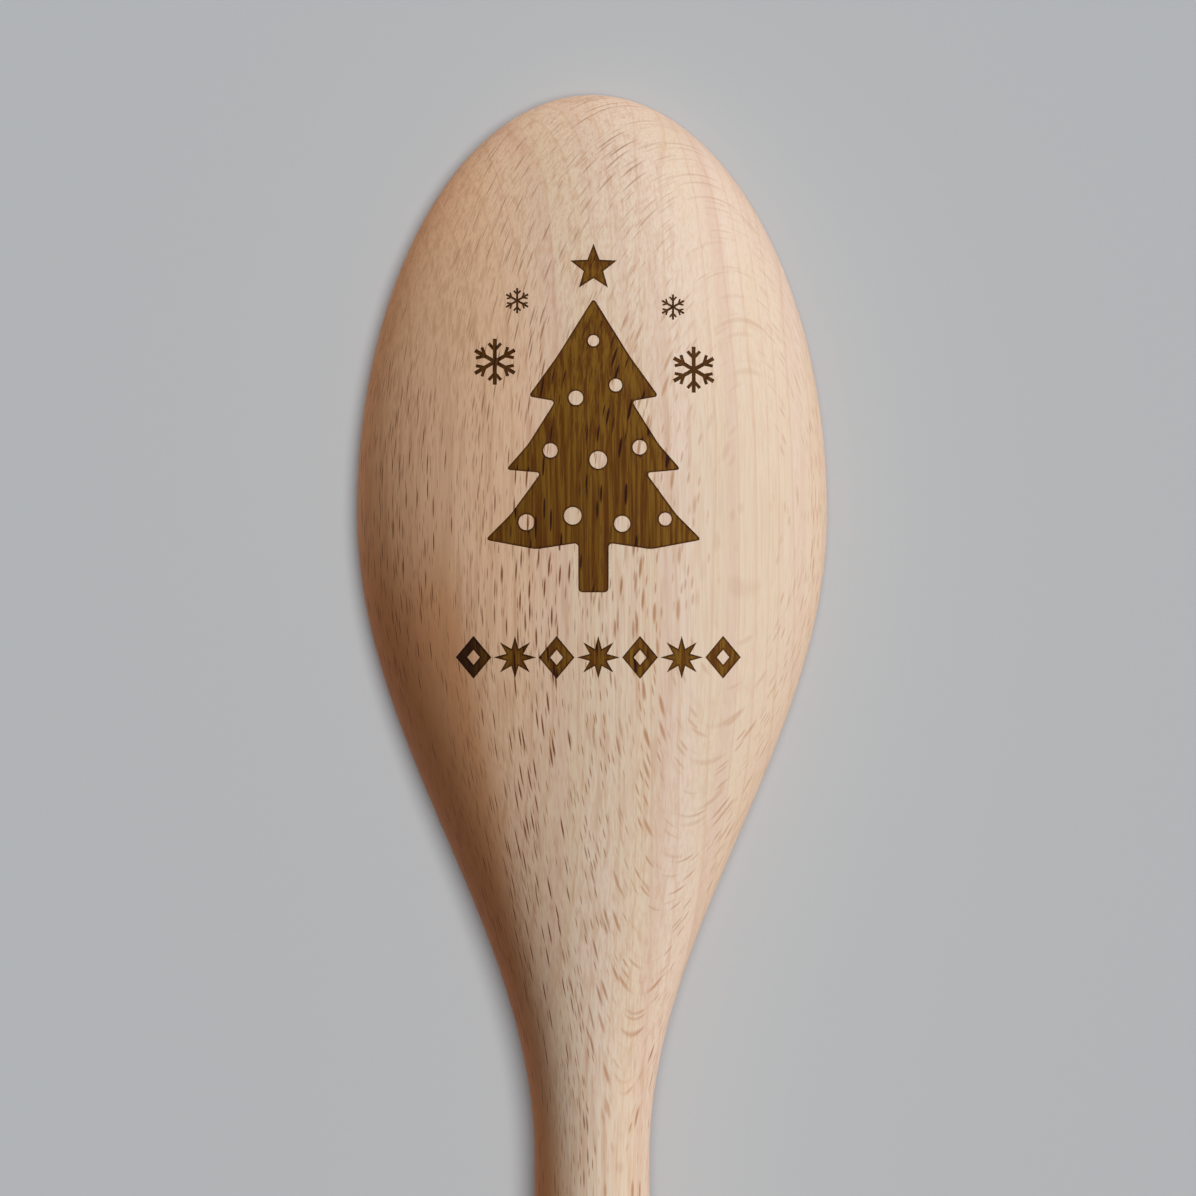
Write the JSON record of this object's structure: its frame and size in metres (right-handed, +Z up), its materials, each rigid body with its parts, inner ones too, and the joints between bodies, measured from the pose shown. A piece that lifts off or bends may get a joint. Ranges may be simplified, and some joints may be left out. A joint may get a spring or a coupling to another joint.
{
  "type": "wooden spoon",
  "caption": "Turned one-piece beech cooking spoon with an egg-shaped hollow bowl and a straight round handle, for stirring and serving.",
  "frame": {"origin": "on the table, under the middle of the spoon's bounding box", "axes": "+Z up from the table to the round back of the bowl, +Y along the spoon from the handle's end to the bowl's tip, +X across the bowl. The spoon lies face down."},
  "size_m": [0.06, 0.3, 0.0217],
  "materials": {
    "beech": "sanded bare beech, matt"
  },
  "bodies": {
    "root": {"spoon": "beech"}
  },
  "joints": []
}
